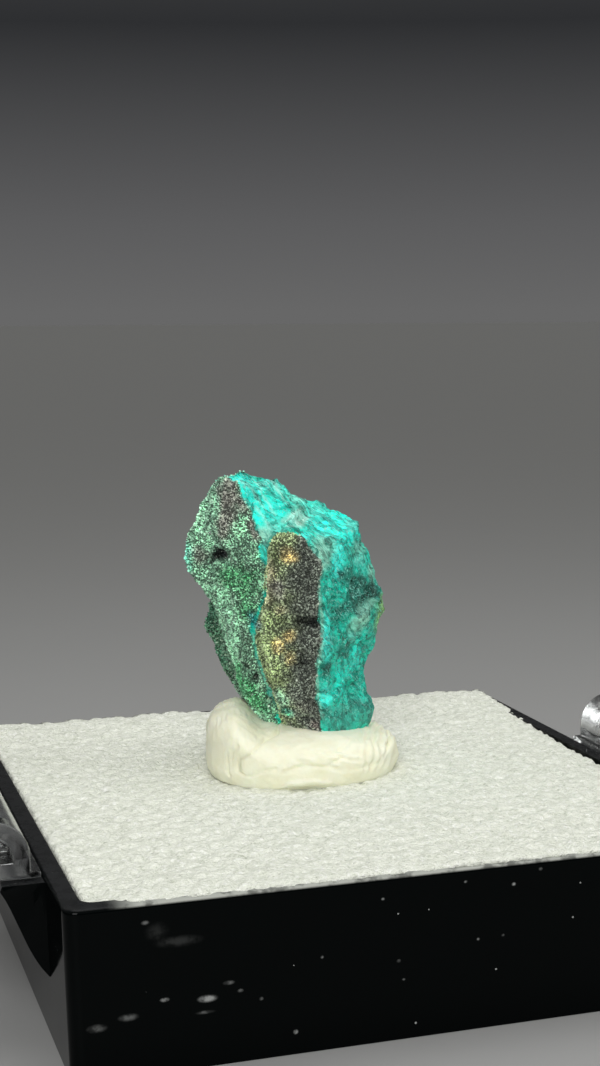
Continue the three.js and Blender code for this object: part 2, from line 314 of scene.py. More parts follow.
# tray: black gloss moulding, edges eased, rim semi-matt in patches with a painted grey reflection on its
# upward faces and a painted highlight along the near rim
tray = {
    "edge": 0.05 * mm,  # ease on the moulded edges
    "edgeSteps": 2,
    "rimEdge": 0.22 * mm,  # rounded outer edge of the rim
    "rimSteps": 4,
    "black": screen(2, 4, 4),
    # painted reflection, laid on the rim's upward faces
    "rimReflectionGrey": screen(34, 35, 36),
    "specular": 0.07,
    "dust": screen(150, 152, 150),
    # painted highlight along the rounded near edge of the rim
    "rimHighlight": screen(168, 170, 163),
    "frontFace": -15.8,  # mm, where the smudges lie
    # mm along and up the front, how wide and how high, strength
    "smudges": (
        (-12.57, 6.54, 0.22, 0.12, 0.45), (-11.2, 5.6, 1.2, 0.3, 0.09), (-12.1, 6.1, 0.6, 0.5, 0.06),
        (-2.4, 6.4, 0.1, 0.08, 0.7), (-5.07, 4.16, 0.09, 0.09, 0.7), (-1.64, 3.56, 0.12, 0.1, 0.6),
        (-1.4, 2.7, 0.1, 0.07, 0.6), (2, 4.1, 0.09, 0.09, 0.7), (3.16, 4.14, 0.1, 0.08, 0.6),
        (-11.8, 3.16, 0.24, 0.12, 1), (-10, 2.98, 0.5, 0.2, 1.4), (-9.1, 3.55, 0.3, 0.12, 0.5),
        (-8.6, 3.14, 0.16, 0.1, 0.6), (-7.7, 2.67, 0.12, 0.1, 0.5), (-13.3, 2.6, 0.5, 0.2, 0.4),
        (3.6, 6.4, 0.12, 0.1, 1.1), (4.85, 6.95, 0.12, 0.1, 1.1), (1.35, 6.75, 0.1, 0.08, 0.7),
        (-6.2, 1, 0.14, 0.13, 1.2), (-10.1, 2.4, 0.5, 0.1, 0.35), (-14.6, 2.3, 0.5, 0.22, 0.35),
    ),
}


def makeTrayMaterial():
    material, tree, shader = newMaterial("blackGlossPlastic", tray["black"], 0.07)
    vector = millimetres(tree)
    where = splitVector(vector)
    facing = splitVector(place(tree, "ShaderNodeNewGeometry").outputs["Normal"])
    grain = addGrain(vector, perMm=1.6, contrast=1)
    # rim rubbed semi-matt in patches, and its upward faces painted grey there as a painted reflection
    up = remap(facing["Z"], 0.75, 0.98)
    satinAndReflection = times(up, remap(grain, 0.3, 0.7, 0.55, 1))
    colour = mix(satinAndReflection, tray["black"], tray["rimReflectionGrey"])
    # painted highlight on the rounded near edge of the rim, also made rough
    near = remap(where["Y"], -14.2, -14.6)
    along = remap(where["X"], -14.2, -12.6)
    lying = remap(facing["Z"], 0.35, 0.8)
    ragged = remap(noiseNode(vector, 1.6, 4), 0.36, 0.56, 0.35, 1)
    rimHighlight = times(times(near, along), times(lying, ragged))
    colour = mix(rimHighlight, colour, tray["rimHighlight"])
    # dust all over, and smudges on the front
    dust = mathNode("MAXIMUM", addDust(vector, perMm=1.1, size=0.075, share=0.16),
                    addDust(vector, perMm=3.1, size=0.13, share=0.035))
    marks = 0
    for along, height, wide, tall, strength in tray["smudges"]:
        marks = plus(marks, addGroup(smudgeGroup, {
            "Vector": vector, "Place": (along, tray["frontFace"], height), "Size": (wide, 1.2, tall),
            "Strength": strength}))
    broken = remap(noiseNode(vector, 3, 5), 0.36, 0.6, 0.25, 1)
    dust = mathNode("MAXIMUM", dust, times(marks, broken, clamp=True))
    gloss = remap(grain, 0.2, 0.9, 0.04, 0.12)
    rough = plus(gloss, times(satinAndReflection, 0.28))
    dull = mathNode("MAXIMUM", dust, rimHighlight)
    # a slow wave in the moulding and hair scratches
    hair = times(noiseNode(vector, 9, 3, 0.6), 0.015)
    height = plus(noiseNode(vector, 0.12, 2, 0.5), hair)
    setInputs(shader, {
        "Base Color": mix(dust, colour, tray["dust"]),
        "Roughness": mathNode("MAXIMUM", rough, dull),
        "Normal": bumpNode(height, 0.18, 0.0002), "Specular IOR Level": tray["specular"]})
    return material


def easedCopy(name, values):
    # a CAD solid with its flat parts joined up and its edges eased
    bm = copyOfNode(name)
    bmesh.ops.dissolve_limit(bm, angle_limit=math.radians(1.5), verts=bm.verts, edges=bm.edges)
    if "rimEdge" in values:
        top = max(v.co.z for v in bm.verts)
        outer = max(v.co.y for v in bm.verts) - 0.25 * mm
        rim = [e for e in bm.edges
               if all(top - v.co.z < 1e-6 and max(abs(v.co.x), abs(v.co.y)) > outer for v in e.verts)
               and e.calc_face_angle(0) > 1]
        bevelEdges(bm, rim, values["rimEdge"], values["rimSteps"])
    sharp = [e for e in bm.edges if e.is_manifold and e.calc_face_angle() > math.radians(40)]
    bevelEdges(bm, sharp, values["edge"], values["edgeSteps"])
    bmesh.ops.triangulate(bm, faces=[f for f in bm.faces if len(f.verts) > 4])
    return meshFrom(name + "Eased", bm)


piece = finishPiece("tray", easedCopy("box_base", tray), makeTrayMaterial(), ["box_base"])
piece.modifiers.new("evenShading", "WEIGHTED_NORMAL").keep_sharp = False


# knuckles: clear styrene, painted with rings of light and shade that stand in for the refraction inside the
# moulding
knuckle = {
    "edge": 0.07 * mm,
    "edgeSteps": 2,
    "tint": screen(226, 229, 228),
    # share of the radius, screen colour: painted rings of light and shade, standing in for the refraction
    # seen inside the moulding
    "refractionRings": ((0, (222, 226, 224)), (0.34, (214, 216, 214)), (0.4, (70, 68, 68)), (0.5, (96, 90, 90)),
             (0.56, (178, 162, 164)), (0.74, (168, 158, 160)), (0.8, (190, 192, 191)), (1, (194, 197, 196))),
}


def makeClearMaterial():
    material, tree, shader = newMaterial("clearStyrene", knuckle["tint"], 0.03)
    vector = millimetres(tree)
    haze = addGrain(vector, perMm=1.3, contrast=1.2)
    clean = remap(haze, 0.35, 0.8, 0.06, 0.16)
    low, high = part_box("hinge_knuckle_left")
    radius = (high.y - low.y) / mm / 2
    middle = (0, (low.y + high.y) / mm / 2, high.z / mm - radius)
    flat = vectorMath("MULTIPLY", vectorMath("SUBTRACT", vector, middle), (0, 1 / radius, 1 / radius))
    # painted rings of light and shade by distance from the knuckle's axis
    refractionRings = rampNode(vectorMath("LENGTH", flat), knuckle["refractionRings"])
    share = times(haze, 0.3)
    setInputs(shader, {
        "Transmission Weight": 1, "IOR": 1.55, "Base Color": mix(share, refractionRings, knuckle["tint"]),
        "Roughness": mathNode("MAXIMUM", clean, addDust(vector, perMm=2.2, size=0.12, share=0.12)),
        "Normal": bumpNode(haze, 0.1, 0.0001)})
    return material


clearPlastic = makeClearMaterial()
for side in ("left", "right"):
    node = "hinge_knuckle_" + side
    piece = finishPiece("knuckle_" + side, easedCopy(node, knuckle), clearPlastic, [node])
    piece.modifiers.new("evenShading", "WEIGHTED_NORMAL")


# foam pad: fused white beads, cut square
foam = {
    "cells": 220,  # squares along each side of the top
    "levels": (0.55, 1.4),  # mm below the top, rings round the sides
    "round": 0.14,  # mm, rolled upper edge
    "proud": 0.26,  # mm, how far the back, right and front edges stand up
    "lap": 0.8,  # mm, how far it bulges over the rim
    "bead": 0.62,  # mm across one bead
    "dimple": 0.13,  # mm between beads
    "fluff": 0.05,
    "scallop": 0.1,
    "draft": math.radians(2),  # taper of the sides
    "white": screen(246, 248, 236),
    # painted shade, laid in the gaps between beads
    "shade": screen(198, 203, 186),
    # painted glints on the beads
    "glint": screen(252, 253, 246),
}


def makeFoamMaterial():
    material, tree, shader = newMaterial("whiteBeadFoam", foam["white"], 0.9)
    vector = millimetres(tree)
    grain = addGrain(vector, perMm=5, contrast=1.6)
    flecks = addGrain(vector, perMm=4.5, contrast=2.6)
    # painted shade in the gaps between beads, with random grain and dark specks
    gaps = remap(voronoiNode(vector, 1.9)["Distance"], 0.35, 0.75)
    shade = plus(times(gaps, 0.22), times(grain, 0.3))
    beadShadeAndFlecks = plus(shade, remap(flecks, 0.3, 0.12, 0, 0.5), clamp=True)
    ground = mix(beadShadeAndFlecks, foam["white"], foam["shade"])
    # painted glints where the grain noise is high
    glintShare = remap(flecks, 0.62, 0.82, 0, 0.9)
    rise = mathNode("SUBTRACT", 1, voronoiNode(vector, 6.5)["Distance"])
    setInputs(shader, {
        "Base Color": mix(glintShare, ground, foam["glint"]),
        "Roughness": remap(grain, 0.2, 0.8, 0.8, 1),
        "Normal": bumpNode(plus(rise, grain), 0.8, 0.0001), "Specular IOR Level": 0.25})
    return material


def beadDrop(x, y):
    # how far below a bead's crown the surface lies, and the fluff on it, 0 to 1
    distances, _ = noise.voronoi(Vector((x, y, 0.3)) / foam["bead"])
    inside = min(1, distances[0] / 0.62)
    fine, _ = noise.voronoi(Vector((x, y, 4.1)) / (foam["bead"] * 0.42))
    return 1 - math.sqrt(max(0, 1 - inside * inside)), min(1, fine[0])


def proudShare(x, y):
    # 1 where the pad stands above the rim, 0 where it lies level with it
    front = float(ease(-11.5, -14.3, y) * ease(-15, -11.5, x) * ease(13.5, 9, x))
    back = float(ease(10.5, 14.3, y))
    right = float(ease(11, 14.3, x) * ease(1, 14, y))
    return max(front, back, right)


def buildFoam():
    low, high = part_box("foam_pad")
    half = high.x
    bm = bmesh.new()
    bmesh.ops.create_grid(bm, x_segments=foam["cells"], y_segments=foam["cells"], size=half)
    bmesh.ops.translate(bm, verts=bm.verts, vec=(0, 0, high.z))
    rim = [e for e in bm.edges if e.is_boundary]
    for level in (*(high.z - down * mm for down in foam["levels"]), low.z):
        made = bmesh.ops.extrude_edge_only(bm, edges=rim)["geom"]
        rim = [e for e in made if isinstance(e, bmesh.types.BMEdge)]
        for v in {v for e in rim for v in e.verts}:
            v.co.z = level
    bmesh.ops.edgenet_fill(bm, edges=rim)
    roll = foam["round"]
    band = 0.6  # mm from the edge that the scallops and the lap reach
    for v in bm.verts:
        x, y = v.co.x / mm, v.co.y / mm
        edge = half / mm - max(abs(x), abs(y))  # mm in from the cut edge
        if v.co.z > high.z - 1e-7:
            crown, fine = beadDrop(x, y)
            drop = foam["dimple"] * crown + foam["fluff"] * fine
            drop += 0.05 * (0.5 + 0.5 * noise.noise(Vector((x, y, 2)) / 4))
            drop -= foam["proud"] * proudShare(x, y) * (0.85 + 0.3 * noise.noise(Vector((x, y, 7)) / 2.5))
            if edge < roll:
                drop += (roll - math.sqrt(max(0, roll * roll - (roll - edge) ** 2))) * (0.3 if y > 14 else 1)
            v.co.z -= drop * mm
        if edge < band:
            along = x if abs(y) > abs(x) else y
            spot = Vector((along * 1.9, math.copysign(3, x), math.copysign(5, y)))
            bite = foam["scallop"] * (0.5 + 0.5 * noise.noise(spot))
            bite -= foam["lap"] * proudShare(x, y) if v.co.z > high.z - 0.2 * mm else 0
            pull = (1 - edge / band) * bite / (half / mm)
            v.co.x *= 1 - pull
            v.co.y *= 1 - pull
        taper = 1 - (high.z - v.co.z) * math.tan(foam["draft"]) / half
        v.co.x *= taper
        v.co.y *= taper
    bmesh.ops.recalc_face_normals(bm, faces=bm.faces)
    return meshFrom("foam", bm)


finishPiece("foam", buildFoam(), makeFoamMaterial(), ["foam_pad"])


# putty: a pressed roll with a tall left lobe, finger ridges and small folds
putty = {
    "columns": 400,
    "rings": 150,
    "middle": (-0.45, -0.3),  # mm across and deep
    "radiusAcross": 4.85,
    "radiusDeep": 4.9,
    "waist": 0.7,
    "flatFrom": 0.42,  # share of the lower half where the flat bottom starts
    "frontTop": 2.35,
    "leftLobe": 1.2,
    "rightDip": 0.25,
    "lump": 0.12,
    "sink": 0.12,  # mm pressed into the foam
    "ridge": 0.045,  # mm, half the height of a finger ridge
    "creaseDepth": 2.2,  # times the depths below
    "cream": screen(250, 250, 226),
    "shade": screen(236, 232, 200),
    "soil": screen(170, 168, 140),
    # points across and up the front, width, depth
    "creases": (
        (((-3.9, 1.1), (-3.1, 1.5), (-2.2, 2.15), (-1.5, 2.3)), 0.05, 0.1),  # these meet on the lobe
        (((-3.95, 1.05), (-4.1, 0.6), (-4, 0.35)), 0.06, 0.09),
        (((-3.9, 1.1), (-3.6, 0.7), (-3.2, 0.55)), 0.06, 0.07),
        (((-3.95, 1.1), (-4.4, 1.35)), 0.06, 0.08),
        (((-3.9, 1.15), (-3.8, 1.6), (-3.5, 2)), 0.05, 0.06),
        (((-2.9, 0.5), (-2.2, 0.9), (-1.6, 1)), 0.07, 0.04),
        (((-1.2, 0.85), (-0.2, 1.15), (0.9, 1), (1.7, 1.35)), 0.08, 0.05),
        (((0.2, 1.7), (1.2, 1.6), (2.1, 1.9)), 0.08, 0.04),
        (((1.2, 0.95), (2.2, 0.7), (3.5, 0.75)), 0.1, 0.05),
        (((4, 2.2), (4.25, 1.6), (3.9, 1)), 0.07, 0.08),  # curl at the right end
    ),
    "fold": ((-1.6, -0.05), (-0.9, 0.38), (0.1, 0.5), (1.3, 0.2)),
    "foldHeight": 0.34,
}


def puttyTop(angle, out, x):
    # the lobe stands only left of the stone, with a steep side towards it
    left = float(ease(-1.7, -3.5, x)) * (0.8 + 0.2 * max(0, -math.cos(angle)))
    right = max(0, math.cos(angle)) ** 3 * min(1, out * 1.6)
    return putty["frontTop"] + putty["leftLobe"] * left - putty["rightDip"] * right


def puttyPoint(p):
    angle = math.atan2(p.y, p.x)
    ring = min(1, math.hypot(p.x, p.y))
    outline = 1 + 0.035 * math.cos(3 * angle + 0.5) + 0.03 * math.cos(2 * angle - 0.7)
    upper = p.z >= 0
    out = ring ** (0.75 if upper else 0.4)
    x = math.cos(angle) * putty["radiusAcross"] * out * outline
    y = math.sin(angle) * putty["radiusDeep"] * out * outline
    waist = putty["waist"]
    if upper:
        crown = 0.6 - 0.3 * float(ease(-1.8, -3.4, x))  # lower is flatter on top
        z = waist + (puttyTop(angle, out, x) - waist) * abs(p.z) ** crown
    else:
        z = waist - (waist + putty["sink"]) * min(1, -p.z / putty["flatFrom"])
    return Vector((putty["middle"][0] + x, putty["middle"][1] + y, z))


def ridges(run, apart, wobble):
    return putty["ridge"] * np.sin(run * 2 * math.pi / apart + wobble)


def puttyRelief(spots):
    # mm outwards at each point, from the finger ridges, creases and the fold
    across, deep, height = spots.T
    flat = spots[:, [0, 2]]
    relief = putty["lump"] * noiseAt(spots, 1.5, 3) * 0.8
    relief += 0.06 * noiseAt(spots, 0.7, 14) + 0.025 * noiseAt(spots, 0.33, 8)
    # ridges that curve down the right end
    bend = across + 0.22 * (height - 1.2) ** 2 - 0.1 * deep
    right = ease(2.3, 3, across) * ease(0.15, 0.6, height)
    relief += right * ridges(bend, 0.34, 2 * noiseAt(spots, 0.8, 5))
    # finer ones on the left lobe
    left = ease(-2.6, -3.3, across) * ease(1.6, 2.2, height)
    left *= ease(-0.5, 0.4, noiseAt(spots, 0.9, 21))
    relief += left * 0.4 * ridges(across + 0.12 * height, 0.27, 2 * noiseAt(spots, 1.1, 22))
    # slanted ones below the stone's front
    middle = ease(1.5, -1.5, deep) * ease(0.4, 0.9, height) * ease(2.1, 1.5, height)
    middle *= ease(-1.2, -0.2, across) * ease(3.4, 2.4, across)
    middle *= ease(-0.4, 0.5, noiseAt(spots, 1.2, 23))
    relief += middle * 0.9 * ridges(height + 0.35 * across, 0.34, 4 * noiseAt(spots, 0.8, 12))
    for line, width, depth in putty["creases"]:
        relief -= putty["creaseDepth"] * depth * nearLine(flat, line, width) * ease(0.8, -0.4, deep)
    # lens-shaped fold along the bottom, sharp at its upper edge
    fold = putty["fold"]
    gap, along = lineDistance(flat, fold)
    below = height < np.interp(across, [p[0] for p in fold], [p[1] for p in fold])
    lens = np.sin(math.pi * np.clip(along, 0, 1)) * np.exp(-(gap / 0.45) ** 2)
    return relief + np.where(below & (deep < 0), putty["foldHeight"] * lens, 0)


def buildPutty():
    bm = bmesh.new()
    bmesh.ops.create_uvsphere(bm, u_segments=putty["columns"], v_segments=putty["rings"], radius=1)
    for v in bm.verts:
        v.co = puttyPoint(v.co)
    bm.normal_update()
    relief = puttyRelief(np.array([v.co for v in bm.verts]))
    for v, step in zip(bm.verts, relief):
        quiet = min(1, max(0, (v.co.z + 0.1) / 0.3))  # no relief on the flat bottom
        v.co += v.normal * float(step) * quiet
        v.co = fromStone(*v.co)
    bmesh.ops.recalc_face_normals(bm, faces=bm.faces)
    return meshFrom("putty", bm)


def makePuttyMaterial():
    material, tree, shader = newMaterial("creamPutty", putty["cream"], 0.62)
    vector = millimetres(tree)
    grain = addGrain(vector, perMm=4, contrast=1.3)
    shade = remap(noiseNode(vector, 0.7, 3), 0.35, 0.75, 0, 0.55)
    colour = mix(shade, putty["cream"], putty["shade"])
    soiled = times(addDust(vector, perMm=1.6, size=0.09, share=0.12), 0.5)
    setInputs(shader, {
        "Base Color": mix(soiled, colour, putty["soil"]),
        "Roughness": remap(grain, 0.2, 0.8, 0.5, 0.75),
        "Normal": bumpNode(grain, 0.5, 0.00007), "Specular IOR Level": 0.35,
        "Subsurface Weight": 0.25, "Subsurface Radius": (1, 0.8, 0.5), "Subsurface Scale": 0.0006})
    return material


finishPiece("putty", buildPutty(), makePuttyMaterial(), ["mineral_putty"])


# stone: broken turquoise faces and two panels crusted with tiny crystals
stone = {
    "cuts": 4,  # new points on each edge of the CAD solid
    "shard": 1,  # mm, broken facets
    "shardTilt": 0.17,
    "splinter": 0.42,
    "splinterTilt": 0.2,
    "flakeStep": 0.1,  # share of a flake's size
    "crustLump": 0.42,
    "crustRise": 0.07,
    "crack": 0.07,  # mm
    "grainTurn": (0.3, math.radians(-48), 0.4),
    "grainStretch": (0.5, 1.4, 1.4),
    "deep": (0.1, 0.34, 0.32, 1),  # times the tint
    "silk": ((1.5, 1.7, 1.65), (0.03, 0.12, 0.11)),  # times the tint, and added to it
    # painted glints: thin pale streaks on the broken faces
    "paleGlints": screen(150, 243, 224),
}

mineral = {name: screen(*rgb) for name, rgb in {
    "turquoise": (8, 224, 204), "bright": (60, 246, 230), "teal": (8, 184, 160), "emerald": (0, 62, 50),
    "sage": (142, 200, 178), "aqua": (104, 214, 196), "pearl": (196, 216, 202), "amberGreen": (132, 172, 104),
    # black is painted shade, laid in the hollows of the crust
    "footGreen": (44, 156, 138), "charcoal": (106, 113, 104), "black": (22, 26, 26), "taupe": (138, 138, 130),
    "beige": (182, 176, 146), "olive": (156, 172, 128), "gold": (206, 190, 138), "mossGrey": (136, 178, 152),
    "paleGreen": (150, 194, 166), "green": (86, 158, 112), "deepGreen": (34, 112, 82),
    "inkBlue": (18, 104, 136), "pink": (118, 100, 102),
}.items()}

# lines and outlines on the front of the stone, mm across and mm high
paleRim = ((0.95, 11), (0.8, 10.6), (0.7, 10.1), (0.7, 8.9), (0.8, 7.2), (0.58, 5.9), (0.5, 4.6), (0.58, 3.9),
           (0.8, 3))
mossSeam = ((-2.8, 6.9), (-2.5, 5.5), (-2.2, 4.6), (-1.8, 3.7), (-1.5, 3.1))
inkSeam = ((-2.9, 8), (-2.75, 7.6), (-2.5, 7.5))
crackLines = (
    ((-2.9, 15.3), (-2.3, 14.3), (-1.6, 13.2)), ((-3.4, 14.9), (-2.8, 14.5), (-2.2, 13.6)),
    ((-2, 15), (-1.3, 14.3), (-1, 13.8)), ((-2.6, 13.6), (-2.1, 13), (-1.9, 12.6)),
    ((-1.3, 12.9), (-0.8, 13.2), (-0.2, 13.5)), ((-1.1, 12.75), (-0.5, 12.8), (0.2, 13.1)),
)
# no crystals this near to these
bareSeams = (
    (((-2.85, 7.7), (-2.8, 6.7), (-2.5, 5.5), (-2.2, 4.6), (-1.8, 3.7), (-1.5, 3.1)), 0.02),
    (((-2.05, 12.4), (-2.2, 11.6), (-2.15, 11)), 0.16),
)
# the crusted panels
leftPanel = (
    (-4.1, 15.1), (-3.5, 14.8), (-3.4, 14.3), (-3.1, 13.8), (-2.8, 13.1), (-2.6, 12.5), (-2.3, 12),
    (-2.45, 11.5), (-2.2, 10.9), (-2, 10.4), (-2.05, 9.9), (-2.2, 9.2), (-2.4, 8.6), (-2.6, 8.1), (-2.9, 7.6),
    (-2.9, 6.7), (-2.6, 5.5), (-2.3, 4.6), (-1.9, 3.7), (-1.6, 3.3), (-1.4, 0.8), (-8, 0.8), (-8, 12),
    (-5.9, 12.9), (-5.2, 14.1), (-4.6, 14.9),
)
frontPanel = (
    (-1.85, 12), (-1.5, 12.4), (-0.8, 12.5), (-0.2, 12.3), (0.1, 11.8), (0.6, 11.2), (0.75, 10.9),
    (0.8, 10.6), (0.62, 10.1), (0.62, 9.4), (0.55, 8.6), (0.7, 7.7), (0.7, 7), (0.5, 5.9), (0.42, 4.7),
    (0.42, 3.9), (0.65, 3.2), (0.8, 1), (-1.4, 1), (-1.5, 3.4), (-1.65, 3.7), (-2.1, 4.6), (-2.45, 5.6),
    (-2.7, 6.7), (-2.6, 7.6), (-2.45, 8.2), (-2.2, 8.7), (-2.05, 9.8), (-2, 11),
)

# patches by pigment: mm across, deep and high, how wide and how high, strength; later ones lie on top
faceSpots = (
    ("bright", (-3.5, 0.7, 15.2, 0.9, 0.5, 0.9), (-3, -0.3, 14.5, 0.7, 0.8, 0.7)),
    ("turquoise", (-2, -0.3, 14.2, 0.9, 0.9, 0.8), (-2.3, -0.7, 13.4, 0.7, 0.8, 0.9)),
    ("bright", (-1.6, -0.5, 13.5, 0.8, 0.7, 0.5)), ("aqua", (-1.5, 0.8, 14.7, 1, 0.6, 0.7)),
    ("bright", (1.1, -0.2, 12.7, 1.1, 0.8, 0.9)), ("turquoise", (1.8, 0.3, 12.9, 0.8, 0.7, 0.9)),
    ("bright", (0, -2.1, 12.4, 0.3, 0.35, 1)), ("turquoise", (2.2, -0.4, 12.1, 0.9, 0.6, 0.9)),
    ("aqua", (0.6, 0.6, 13.4, 0.9, 0.5, 0.8), (2.4, 0.2, 12.7, 0.5, 0.5, 0.6)),
    ("bright", (1.6, -1.7, 11, 0.3, 1, 0.9), (1, -2.5, 7, 0.24, 1.3, 0.8), (1, -2.3, 3.9, 0.4, 0.5, 0.95)),
    ("turquoise", (2.6, -0.4, 6, 0.45, 0.6, 0.8)), ("bright", (2.7, -0.2, 5.4, 0.3, 0.4, 0.6)),
    ("turquoise", (1.7, -1.6, 4.2, 0.7, 0.35, 0.7)), ("bright", (-2.25, -1.2, 11.3, 0.24, 0.55, 1)),
    ("turquoise", (2, -1.2, 5, 0.6, 0.6, 0.5)), ("sage", (-0.5, 0.9, 13.9, 0.5, 0.35, 0.8)),
    ("mossGrey", (-0.3, -0.2, 13.5, 0.45, 0.4, 0.7)), ("pearl", (-0.4, -0.7, 13.05, 0.5, 0.28, 0.95),
     (-0.8, -1, 13, 0.3, 0.25, 0.6)), ("aqua", (-1.6, -1, 12.6, 0.6, 0.35, 0.9)),
    ("sage", (-2.2, -1.4, 12.2, 0.4, 0.45, 0.9), (0.9, -1.9, 11.7, 0.6, 0.6, 0.75),
     (0.6, -2.3, 11.4, 0.35, 0.4, 0.8), (0.95, -2.3, 10.9, 0.35, 0.5, 0.8), (2.7, 0, 11.4, 0.6, 0.4, 0.5)),
    ("aqua", (2.8, -0.3, 10.8, 0.5, 0.3, 0.6)), ("sage", (3.4, 0.4, 9.9, 0.3, 0.5, 0.8)),
    ("emerald", (3.4, -0.2, 9.1, 0.8, 0.6, 1), (2.6, -0.8, 9.6, 0.8, 0.5, 0.9),
     (2, -1.4, 10.1, 0.6, 0.5, 0.75), (2.5, -1, 8.7, 0.8, 0.5, 0.85)),
    ("teal", (1.1, -2.4, 10.1, 0.4, 0.6, 0.8), (1.5, -1.8, 9.2, 0.5, 0.6, 0.9)),
    ("emerald", (1.1, -2.2, 5.4, 0.32, 0.35, 0.9), (1.9, -1.3, 6.2, 0.5, 0.4, 0.7),
     (1.6, -1.7, 8.2, 0.5, 0.5, 0.6)), ("teal", (1.7, -1.5, 7.3, 0.6, 0.5, 0.8)),
    ("sage", (3, -0.9, 8, 0.55, 0.55, 0.85), (3.4, -0.2, 8.35, 0.35, 0.3, 0.8),
     (2.6, -1.1, 7.4, 0.45, 0.5, 0.7)), ("aqua", (2.4, -0.9, 6.9, 0.4, 0.3, 0.6)),
    ("amberGreen", (4.05, 0.4, 7.9, 0.35, 0.9, 0.95), (3.8, 0.8, 7.2, 0.4, 0.6, 0.6)),
    ("footGreen", (1.3, -2, 3, 0.7, 0.5, 0.9), (2.3, -1.1, 3, 0.9, 0.6, 0.95),
     (3.1, -0.3, 2.9, 0.8, 0.7, 0.95), (1.7, -1.7, 2.4, 0.9, 0.5, 0.9), (3.6, 0.3, 2.6, 0.6, 0.6, 0.9)),
    # behind
    ("bright", (1.5, 3.2, 10.5, 1.6, 1.4, 0.7)), ("emerald", (3, 2.6, 7.6, 1.2, 1.2, 0.8)),
    ("aqua", (1, 3.9, 6.2, 1.2, 1.4, 0.7)), ("turquoise", (2.8, 2.4, 4.6, 1, 1.2, 0.8)),
    ("teal", (-0.6, 4, 8.2, 1, 1.2, 0.8)), ("turquoise", (1.4, 1.8, 12.6, 1.2, 0.9, 0.8)),
    ("footGreen", (0.4, 3.8, 3.6, 1.4, 1, 0.8)),
)
